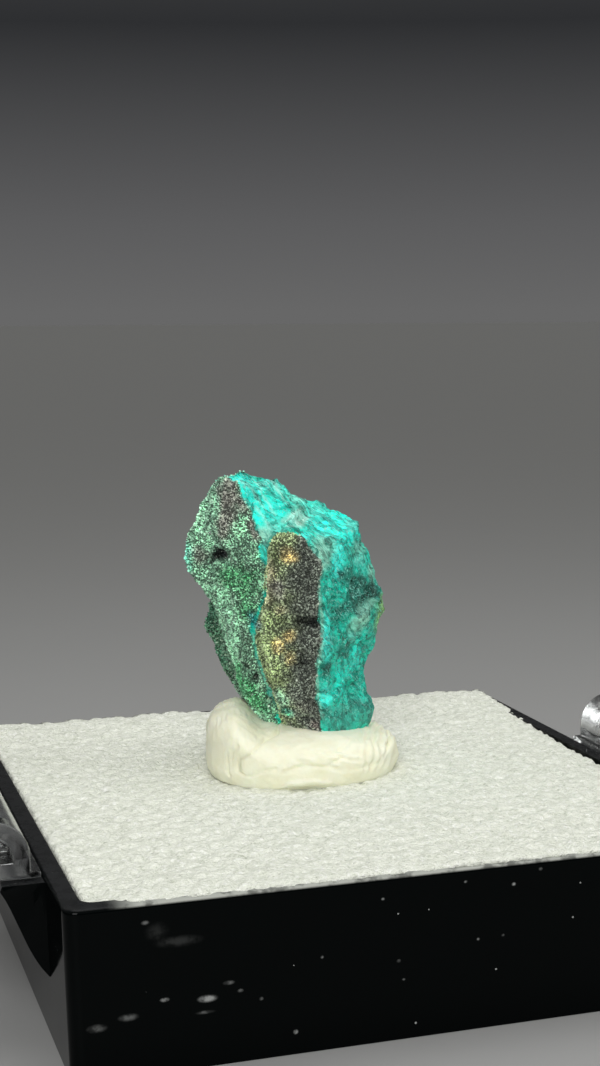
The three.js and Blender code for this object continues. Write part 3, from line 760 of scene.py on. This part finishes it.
crustSpots = (
    ("taupe", (-4, 0, 14.7, 0.5, 0.6, 0.9), (-3.9, -0.4, 13.9, 0.5, 0.6, 0.95),
     (-4.1, -0.5, 13.1, 0.5, 0.6, 0.9), (-4.3, -0.4, 12.4, 0.45, 0.5, 0.85),
     (-3.2, -0.6, 13.5, 0.3, 0.4, 0.7), (-2.8, -0.8, 12.7, 0.3, 0.5, 0.85),
     (-2.6, -1.2, 12.2, 0.25, 0.35, 0.8), (-5.6, 0.5, 11, 0.5, 0.4, 0.7)),
    ("paleGreen", (-5.4, 0.7, 13.1, 0.5, 0.7, 0.7), (-5.7, 0.5, 12.1, 0.5, 0.5, 0.7),
     (-5.1, 0.1, 11.9, 0.5, 0.5, 0.6), (-3.5, -0.7, 12.3, 0.4, 0.5, 0.8), (-3.2, -0.8, 11.2, 0.5, 0.6, 0.6)),
    ("aqua", (-6.3, 0.7, 10.8, 0.3, 0.7, 0.5)), ("green", (-3.6, -0.6, 10.1, 0.9, 0.5, 0.9),
     (-4.3, -0.3, 9.8, 0.6, 0.4, 0.7), (-3.1, -0.7, 9.4, 0.7, 0.5, 0.6)),
    ("mossGrey", (-5, 0.4, 9.6, 0.6, 0.6, 0.8)), ("green", (-3.1, -0.7, 8.2, 0.5, 0.6, 0.8)),
    ("paleGreen", (-3.9, -0.1, 8.2, 0.5, 0.8, 0.6)), ("mossGrey", (-3.3, -0.5, 7, 0.5, 0.7, 0.7),
     (-3.5, 0, 6, 0.5, 0.6, 0.8)), ("green", (-3.3, -0.1, 4.2, 0.7, 0.8, 0.95),
     (-2.6, -0.6, 3.4, 0.7, 0.7, 0.9), (-3.6, 0.9, 4.6, 0.5, 0.7, 0.9), (-3, -0.4, 3.8, 0.6, 0.6, 0.8)),
    # black patches: painted shade in the hollows where the stone sinks in
    ("deepGreen", (-2.2, -1.2, 3, 0.5, 0.5, 0.6)), ("black", (-4.5, 0, 11.1, 0.5, 0.42, 1),
     (-4.85, 0.1, 10.75, 0.35, 0.25, 0.8), (-3.2, -0.6, 5.25, 0.25, 0.2, 1),
     (-2.7, -0.8, 4.8, 0.2, 0.35, 0.9)), ("olive", (-1.6, -1.8, 12.2, 0.4, 0.3, 0.9),
     (-1, -2.2, 12.2, 0.5, 0.3, 0.7), (-2, -2.3, 7, 0.55, 0.7, 0.95), (-1.8, -2.4, 6.2, 0.45, 0.7, 0.9),
     (-1.5, -2.5, 5.2, 0.3, 0.7, 0.9), (-2.2, -1.6, 7.7, 0.35, 0.5, 0.8)),
    ("mossGrey", (-1.3, -2.1, 3.9, 0.4, 0.5, 0.9)), ("beige", (-1.8, -1.9, 10.3, 0.35, 0.6, 0.85)),
    ("taupe", (-1.5, -2.3, 9.6, 0.4, 0.6, 0.85)), ("beige", (-1.9, -1.9, 9.1, 0.3, 0.5, 0.6)),
    ("gold", (-0.85, -2.3, 11.25, 0.45, 0.3, 1), (-1.1, -2.2, 11.5, 0.3, 0.25, 0.7)),
    ("beige", (-1.4, -2.1, 8.5, 0.4, 0.25, 0.6)), ("gold", (-0.9, -2.3, 7.1, 0.35, 0.3, 0.95),
     (-1.5, -2.5, 6.7, 0.3, 0.4, 0.8), (-0.9, -2.6, 6.1, 0.3, 0.3, 0.6)),
    ("charcoal", (0.1, -2.5, 10.8, 0.5, 0.5, 0.9), (-0.5, -2.4, 10.1, 0.6, 0.6, 0.9),
     (0.2, -2.7, 9.3, 0.5, 0.7, 0.95), (-0.3, -2.4, 8.7, 0.6, 0.4, 0.8)),
    # black patches: painted shade in the slot under the ledge and in the hollows below it
    ("black", (0, -2.1, 7.95, 0.8, 0.36, 0.75), (0.35, -2.2, 7.7, 0.3, 0.25, 0.9)),
    ("charcoal", (0.1, -2.7, 7, 0.5, 0.5, 0.95)), ("black", (-0.2, -2.6, 5.8, 0.6, 0.7, 0.75)),
    ("charcoal", (-0.1, -2.7, 5, 0.6, 0.7, 0.95), (-0.5, -2.5, 4.2, 0.6, 0.5, 0.9),
     (0.2, -2.5, 4.1, 0.3, 0.4, 0.8)), ("taupe", (-0.1, -2.3, 3.55, 0.4, 0.25, 0.5)),
    ("black", (0, -2.3, 2.9, 0.5, 0.25, 0.6)), ("pink", (0.35, -2.4, 2.6, 0.3, 0.2, 0.5)),
    ("teal", (-1, -2, 3.2, 0.4, 0.25, 0.5)),
    # the lobe and the panels behind
    ("green", (-5, 3.3, 6.2, 0.9, 1.2, 0.5)), ("deepGreen", (-4.6, 3.2, 5, 0.6, 0.7, 0.7),
     (-5.3, 3.4, 7.3, 0.7, 0.7, 0.7)), ("green", (-4.2, 3.3, 3.9, 0.7, 0.7, 0.7)),
    ("mossGrey", (-3.2, 3.6, 6, 1.2, 1.4, 0.7)), ("charcoal", (-2.2, 4, 4, 1.2, 1, 0.8)),
    ("mossGrey", (-5, 2.4, 10.2, 0.8, 1, 0.8)), ("taupe", (-3.6, 2.4, 12.4, 1, 1, 0.8)),
)


def insideBy(points, outline):
    # mm inside an outline, negative outside it
    inside = np.zeros(len(points), bool)
    for (ax, ay), (bx, by) in zip(outline, outline[1:] + outline[:1]):
        crosses = (ay > points[:, 1]) != (by > points[:, 1])
        where = ax + (points[:, 1] - ay) * (bx - ax) / (by - ay or 1e-9)
        inside ^= crosses & (points[:, 0] < where)
    gap, _ = lineDistance(points, outline + outline[:1])
    return np.where(inside, gap, -gap)


def pigment(name):
    return np.array(mineral[name][:3])


def stain(colours, name, weight):
    # moves the colours towards a pigment, where they are
    colours += (pigment(name) - colours) * weight[:, None]


def paintSpots(colours, table, points, ripple):
    for name, *spots in table:
        for across, deep, height, wide, high, strength in spots:
            offset = (points - (across, deep, height)) / (wide, max(wide, high) * 1.2, high)
            reach = np.sqrt((offset ** 2).sum(1)) + ripple
            stain(colours, name, strength * ease(1.6, 0.4, reach))


def crustMask(points, ripple):
    # 1 where the tiny crystals grow, 0 on the broken faces
    across, deep, height = points.T
    flat = points[:, [0, 2]]
    wobble = ripple * 0.16
    left = np.where(deep < 1.75, insideBy(flat, leftPanel) + wobble, -1)
    front = np.where(deep < -0.7, insideBy(flat, frontPanel) + wobble * 0.6, -1)
    lobe = np.where(deep > 1.4, np.minimum(-2.6 - across, 9.4 - height) + ripple * 0.5, -1)
    behind = np.minimum(deep - 2.6, 5.4 - height - 0.6 * across) + ripple * 0.7
    upperBack = np.minimum(-3.2 - across, deep - 1.2) + ripple * 0.4
    mask = ease(-0.03, 0.06, np.maximum.reduce([left, front, lobe, behind, upperBack]))
    for line, width in bareSeams:
        gap, _ = lineDistance(flat, line)
        mask = np.where(deep < 0.5, mask * ease(width, width + 0.08, gap + wobble * 0.3), mask)
    return mask


def tilted(p, size, tilt, seed):
    # height of flat, tilted flakes with steps between them
    where = Vector(p) / size + Vector((seed, seed, seed))
    _, cells = noise.voronoi(where)
    lean = noise.cell_vector(cells[0] * 9.1) * 2 - Vector((1, 1, 1))
    step = noise.cell(cells[0] * 5.3 + Vector((3, 1, 2))) - 0.5
    return size * (tilt * (where - cells[0]).dot(lean) + stone["flakeStep"] * step)


def flakeRelief(points, crust):
    # mm, flakes on the broken faces along a slanting grain, calmer on the foot block
    slant = Matrix.Rotation(math.radians(38), 3, "Y") @ Matrix.Rotation(math.radians(20), 3, "Z")
    relief = np.zeros(len(points))
    for i, p in enumerate(points):
        if crust[i] > 0.99:
            continue
        q = slant @ Vector(p)
        q.x *= 0.5
        relief[i] = tilted(q, stone["shard"], stone["shardTilt"], 1.5)
        relief[i] += tilted(q * 1.3 + Vector((0, q.x, 0)), stone["splinter"], stone["splinterTilt"], 7.5)
    across, deep, height = points.T
    foot = ease(3.6, 2.9, height) * ease(0.6, 1.2, across) * ease(1.5, 0.5, deep)
    return relief * (1 - 0.8 * foot)


def paintStone(points, ripple, crust, cracks):
    # the painted colour of each point
    across, deep, height = points.T
    flat = points[:, [0, 2]]
    face = np.tile(pigment("teal"), (len(points), 1))
    paintSpots(face, faceSpots, points, ripple * 0.25)
    stain(face, "turquoise", 0.35 * ease(12.2, 13.2, height + 0.3 * ripple))
    stain(face, "pearl", 0.4 * cracks)
    grown = np.tile(pigment("mossGrey"), (len(points), 1))
    onFront = (insideBy(flat, frontPanel) > -0.1) & (deep < -0.7)
    warm = ease(0.3, -1.9, across + 0.7 * ripple)[:, None]
    panel = pigment("charcoal") * 1.15 * (1 - warm) + pigment("olive") * 0.75 * warm
    grown[onFront] = panel[onFront]
    paintSpots(grown, crustSpots, points, ripple * 0.55)
    grown *= 1 - 0.45 * (ease(1.2, 1.9, deep) * ease(9.6, 8.6, height))[:, None]
    # pale rim beside the front panel, mossy and ink-blue seams in the crevices
    stain(face, "sage", 0.8 * nearLine(flat, paleRim, 0.1) * (deep < -1.2))
    stain(face, "mossGrey", 0.5 * nearLine(flat, mossSeam, 0.14) * (deep < 0.5))
    for colours in (face, grown):
        stain(colours, "inkBlue", 0.5 * nearLine(flat, inkSeam, 0.22) * (deep < 0.5))
    return face + (grown - face) * crust[:, None]


def blackHollows(points):
    # 1 in each black patch of the crust, where the stone sinks in and the black is painted shade
    hollow = np.zeros(len(points))
    for name, *spots in crustSpots:
        for across, deep, height, wide, tall, _ in spots if name == "black" else ():
            reach = np.sqrt((((points - (across, deep, height)) / (wide, 0.9, tall)) ** 2).sum(1))
            hollow = np.maximum(hollow, ease(1.2, 0.3, reach))
    return hollow


def buildStone():
    bm = copyOfNode("dioptase_specimen")
    bmesh.ops.subdivide_edges(bm, edges=bm.edges, cuts=stone["cuts"], use_grid_fill=True)
    smoothForm(bm, 3)
    bm.normal_update()
    points = np.array([toStone(v.co) for v in bm.verts])
    height = points[:, 2]
    ripple = noiseAt(points, 0.55, 2) + 0.5 * noiseAt(points, 0.22, 6)
    crust = crustMask(points, ripple)
    rough = points[:, [0, 2]] + ripple[:, None] * 0.04
    cracks = np.maximum.reduce([nearLine(rough, line, stone["crack"]) for line in crackLines])
    cracks *= (1 - crust) * ease(1.6, 1, points[:, 1])
    lumps = stone["crustRise"] * (noiseAt(points, stone["crustLump"], 4) + 0.6 * noiseAt(points, 0.2, 9))
    shift = crust * lumps + (1 - crust) * (flakeRelief(points, crust) - 0.03)
    shift -= 0.25 * blackHollows(points) + 0.06 * cracks
    shift *= np.clip((height - 1.3) / 0.5, 0, 1)  # none on the foot in the putty
    shift -= 0.1 * np.maximum(0, 1 - (height.max() - height) / 0.5)
    for v, step in zip(bm.verts, shift):
        v.co += v.normal * float(step) * mm
    smoothForm(bm, 2)
    mesh = meshFrom("dioptase", bm)
    addAttributes(mesh, crust, paintStone(points, ripple, crust, cracks))
    return mesh


def addAttributes(mesh, crust, tint):
    # how crusted each point is, and its painted colour
    mesh.attributes.new("crust", "FLOAT", "POINT").data.foreach_set("value", crust.astype(np.float32))
    rgba = np.column_stack([tint, np.ones(len(tint))]).astype(np.float32)
    mesh.attributes.new("tint", "FLOAT_COLOR", "POINT").data.foreach_set("color", rgba.ravel())


def readAttribute(tree, name):
    return place(tree, "ShaderNodeAttribute", attribute_name=name).outputs


def makeStoneMaterial():
    material, tree, shader = newMaterial("brokenDioptase", mineral["teal"], 0.3)
    tint = readAttribute(tree, "tint")["Color"]
    crust = readAttribute(tree, "crust")["Fac"]
    plain = millimetres(tree)
    grainWay = vectorMath("MULTIPLY", millimetres(tree, stone["grainTurn"]), stone["grainStretch"])
    fibre = noiseNode(grainWay, 1.7, 7, 0.66, 2)
    streaks = noiseNode(grainWay, 4.2, 4, 0.6, 2.6)
    flakes = splitColour(voronoiNode(grainWay, 3)["Color"])
    # deep where the fibre noise is low, silky where it is high, with thin painted glints along the streaks,
    # all calmer low down
    low = foamTop / mm + 2.4
    calm = remap(splitVector(plain)["Z"], low, low + 0.7, 0.3, 1)
    deep = times(remap(fibre, 0.5, 0.38, 0, 0.95), calm)
    silk = remap(fibre, 0.53, 0.64, 0, 0.75)
    paleGlints = times(remap(streaks, 0.55, 0.61, 0, 0.8), calm)
    colour = scaleVector(tint, remap(flakes["Red"], 0, 1, 0.8, 2))
    colour = mix(deep, colour, stone["deep"], "MULTIPLY")
    colour = mix(silk, colour, vectorMath("MULTIPLY_ADD", tint, *stone["silk"]))
    colour = mix(paleGlints, colour, stone["paleGlints"])
    ridge = times(voronoiNode(plain, 5.5)["Distance"], 0.35)
    height = plus(fibre, times(streaks, 0.5))
    setInputs(shader, {
        "Base Color": mix(crust, colour, scaleVector(tint, 0.35)),
        "Roughness": remap(flakes["Green"], 0, 1, 0.2, 0.45),
        "Normal": bumpNode(plus(height, ridge), 1, 0.0002)})
    return material


stonePiece = finishPiece("dioptase", buildStone(), makeStoneMaterial(), ["dioptase_specimen"])


# crust crystals: tiny prisms over the two panels, joined as one mesh each
crystal = {
    # name, mm wide, mm high, sides, seed
    "sizes": (("coarseCrystals", 0.095, 0.08, 4, 3), ("fineCrystals", 0.07, 0.07, 3, 8)),
    "apart": 0.82,  # widths from one crystal to the next
    "lean": 0.8,  # radians that a crystal may lean
    "scale": (0.55, 1.35),  # smallest and largest
    # painted sparkles on the brightest crystals
    "pale": screen(214, 226, 206),
}


def makeCrystalMaterial():
    material, tree, shader = newMaterial("crustCrystals", mineral["mossGrey"], 0.25)
    tint = readAttribute(tree, "tint")["Color"]
    shade = readAttribute(tree, "shade")["Fac"]
    vector = millimetres(tree)
    grain = addGrain(vector, perMm=9, contrast=1.4)
    broad = remap(noiseNode(vector, 1.1, 3), 0.36, 0.6, 0.62, 1.25)
    bright = times(broad, remap(shade, 0.1, 0.85, 0.5, 2.9))
    # painted sparkles: the brightest crystals turn pale
    sparkleShare = remap(shade, 0.84, 1, 0, 0.5)
    colour = mix(sparkleShare, scaleVector(tint, bright), crystal["pale"])
    setInputs(shader, {
        "Base Color": mix(times(grain, 0.15), colour, tint),
        "Roughness": remap(grain, 0.2, 0.8, 0.12, 0.35)})
    return material


def crystalForm(name, width, height, sides):
    # a short prism with a low point, open below where it grows from the crust
    bm = bmesh.new()
    bmesh.ops.create_cone(bm, cap_ends=True, segments=sides, depth=height,
                          radius1=width / 2, radius2=width * 0.42)
    bmesh.ops.translate(bm, verts=bm.verts, vec=(0, 0, height / 2))
    bmesh.ops.delete(bm, geom=[f for f in bm.faces if f.normal.z < -0.9], context="FACES_ONLY")
    for v in bmesh.ops.poke(bm, faces=[f for f in bm.faces if f.normal.z > 0.9])["verts"]:
        v.co += Vector((0.08 * width, 0.05 * width, 0.3 * height))
    bmesh.ops.scale(bm, verts=bm.verts, vec=(1.35, 0.7, 1))
    return bpy.data.objects.new(name, meshFrom(name, bm))


def randomNode(group, seed, low, high):
    # a number or a vector for each crystal
    kind, first, out = ("FLOAT_VECTOR", 0, 0) if isinstance(low, tuple) else ("FLOAT", 2, 1)
    inputs = {first: low, first + 1: high, "Seed": seed}
    return place(group, "FunctionNodeRandomValue", inputs, data_type=kind).outputs[out]


def scatterGroup(name, form, apart, seed):
    group = bpy.data.node_groups.new(name, "GeometryNodeTree")
    for way in ("INPUT", "OUTPUT"):
        group.interface.new_socket("Geometry", in_out=way, socket_type="NodeSocketGeometry")
    lean = crystal["lean"]
    crust = place(group, "GeometryNodeInputNamedAttribute", {"Name": "crust"}).outputs[0]
    points = place(group, "GeometryNodeDistributePointsOnFaces", {
        "Mesh": place(group, "NodeGroupInput").outputs[0], "Distance Min": apart,
        "Density Max": 0.9 / apart ** 2, "Density Factor": crust, "Seed": seed},
        distribute_method="POISSON").outputs
    kept = place(group, "GeometryNodeStoreNamedAttribute", {
        "Geometry": points["Points"], "Name": "shade", "Value": randomNode(group, seed + 1, 0, 1),
    }).outputs[0]
    turned = place(group, "FunctionNodeRotateRotation", {
        "Rotation": points["Rotation"],
        "Rotate By": randomNode(group, seed + 2, (-lean, -lean, -3.14), (lean, lean, 3.14)),
    }, rotation_space="LOCAL").outputs[0]
    source = place(group, "GeometryNodeObjectInfo", {"Object": form}).outputs["Geometry"]
    copies = place(group, "GeometryNodeInstanceOnPoints", {
        "Points": kept, "Instance": source, "Rotation": turned,
        "Scale": randomNode(group, seed + 3, *crystal["scale"])}).outputs[0]
    place(group, "NodeGroupOutput", {0: place(group, "GeometryNodeRealizeInstances", {0: copies}).outputs[0]})
    return group


def growCrystals(name, width, height, sides, seed):
    form = crystalForm(name + "Form", width * mm, height * mm, sides)
    base = addObject(name + "Base", stonePiece.data)
    grow = base.modifiers.new("grow", "NODES")
    grow.node_group = scatterGroup(name + "Scatter", form, width * crystal["apart"] * mm, seed)
    grown = bpy.data.meshes.new_from_object(base.evaluated_get(bpy.context.evaluated_depsgraph_get()))
    bpy.data.objects.remove(base)
    bpy.data.objects.remove(form)
    finishPiece(name, grown, crystalMaterial, smooth=False)


crystalMaterial = makeCrystalMaterial()
for size in crystal["sizes"]:
    growCrystals(*size)


# stage, light and camera
stage = {
    "floor": screen(160, 160, 159),
    "floorShade": screen(155, 155, 154),
    "floorHalf": 4,  # metres
    # share of the height, screen colour
    "sky": ((0, (103, 103, 103)), (0.05, (92, 92, 93)), (0.16, (46, 47, 49)), (0.3, (80, 80, 80)),
            (0.55, (170, 170, 168))),
    # name, place and aim in mm, mm wide and high, watts
    "lights": (("overhead", (5, 5, 105), (0, 0, 8), 75, 75, 0.036),
               ("front", (-60, -135, 95), (0, 0, 12), 90, 90, 0.16),
               ("right", (140, -50, 80), (0, 0, 12), 80, 90, 0.045)),
}


def buildStage():
    material, tree, shader = newMaterial("paleFloor", stage["floor"], 0.6)
    grain = addGrain(millimetres(tree), perMm=0.05, contrast=0.4)
    setInputs(shader, {"Base Color": mix(grain, stage["floor"], stage["floorShade"])})
    bm = bmesh.new()
    bmesh.ops.create_grid(bm, x_segments=8, y_segments=8, size=stage["floorHalf"])
    floor = addObject("studioFloor", meshFrom("studioFloor", bm))
    floor.data.materials.append(material)
    world = bpy.data.worlds.new("softStudio")
    world.use_nodes = True
    sky = world.node_tree
    up = splitVector(place(sky, "ShaderNodeTexCoord").outputs["Generated"])["Z"]
    setInputs(sky.nodes["Background"], {"Color": rampNode(up, stage["sky"])})
    bpy.context.scene.world = world
    bpy.context.scene.view_settings.view_transform = "Standard"


def softLight(name, spot, aim, width, height, power):
    lamp = bpy.data.lights.new(name, "AREA")
    lamp.shape = "RECTANGLE"
    lamp.size = width * mm
    lamp.size_y = height * mm
    lamp.energy = power
    light = addObject(name, lamp)
    light.location = Vector(spot) * mm
    light.rotation_euler = (Vector(aim) * mm - light.location).to_track_quat("-Z", "Y").to_euler()


view = {
    "place": (-26.69, -80.79, 30.87),  # mm
    "forward": (0.30118, 0.94487, -0.12845),
    "roll": math.radians(-0.23),
    "lens": 57.81,
}


def buildCamera():
    forward = Vector(view["forward"]).normalized()
    right = forward.cross(Vector((0, 0, 1))).normalized()
    up = right.cross(forward)
    data = bpy.data.cameras.new("photoCamera")
    data.lens = view["lens"]
    data.clip_start = 0.005
    data.clip_end = 20
    camera = addObject("photoCamera", data)
    turn = Matrix((right, up, -forward)).transposed().to_4x4() @ Matrix.Rotation(view["roll"], 4, "Z")
    camera.matrix_world = Matrix.Translation(Vector(view["place"]) * mm) @ turn
    bpy.context.scene.camera = camera


def layOut(tree):
    # each node one column left of the furthest that it feeds
    column = dict.fromkeys(tree.nodes.keys(), 0)
    links = [(link.from_node.name, link.to_node.name) for link in tree.links]
    for source, target in links * len(column):
        column[source] = max(column[source], column[target] + 1)
    rows = dict.fromkeys(column.values(), 0)
    for node in tree.nodes:
        rows[column[node.name]] -= 260
        node.location = (-220 * column[node.name], rows[column[node.name]])


buildStage()
for light in stage["lights"]:
    softLight(*light)
buildCamera()
for owner in (*bpy.data.materials, bpy.context.scene.world):
    if owner.use_nodes:
        layOut(owner.node_tree)
for group in bpy.data.node_groups:
    layOut(group)
print("stage, lights and camera set")
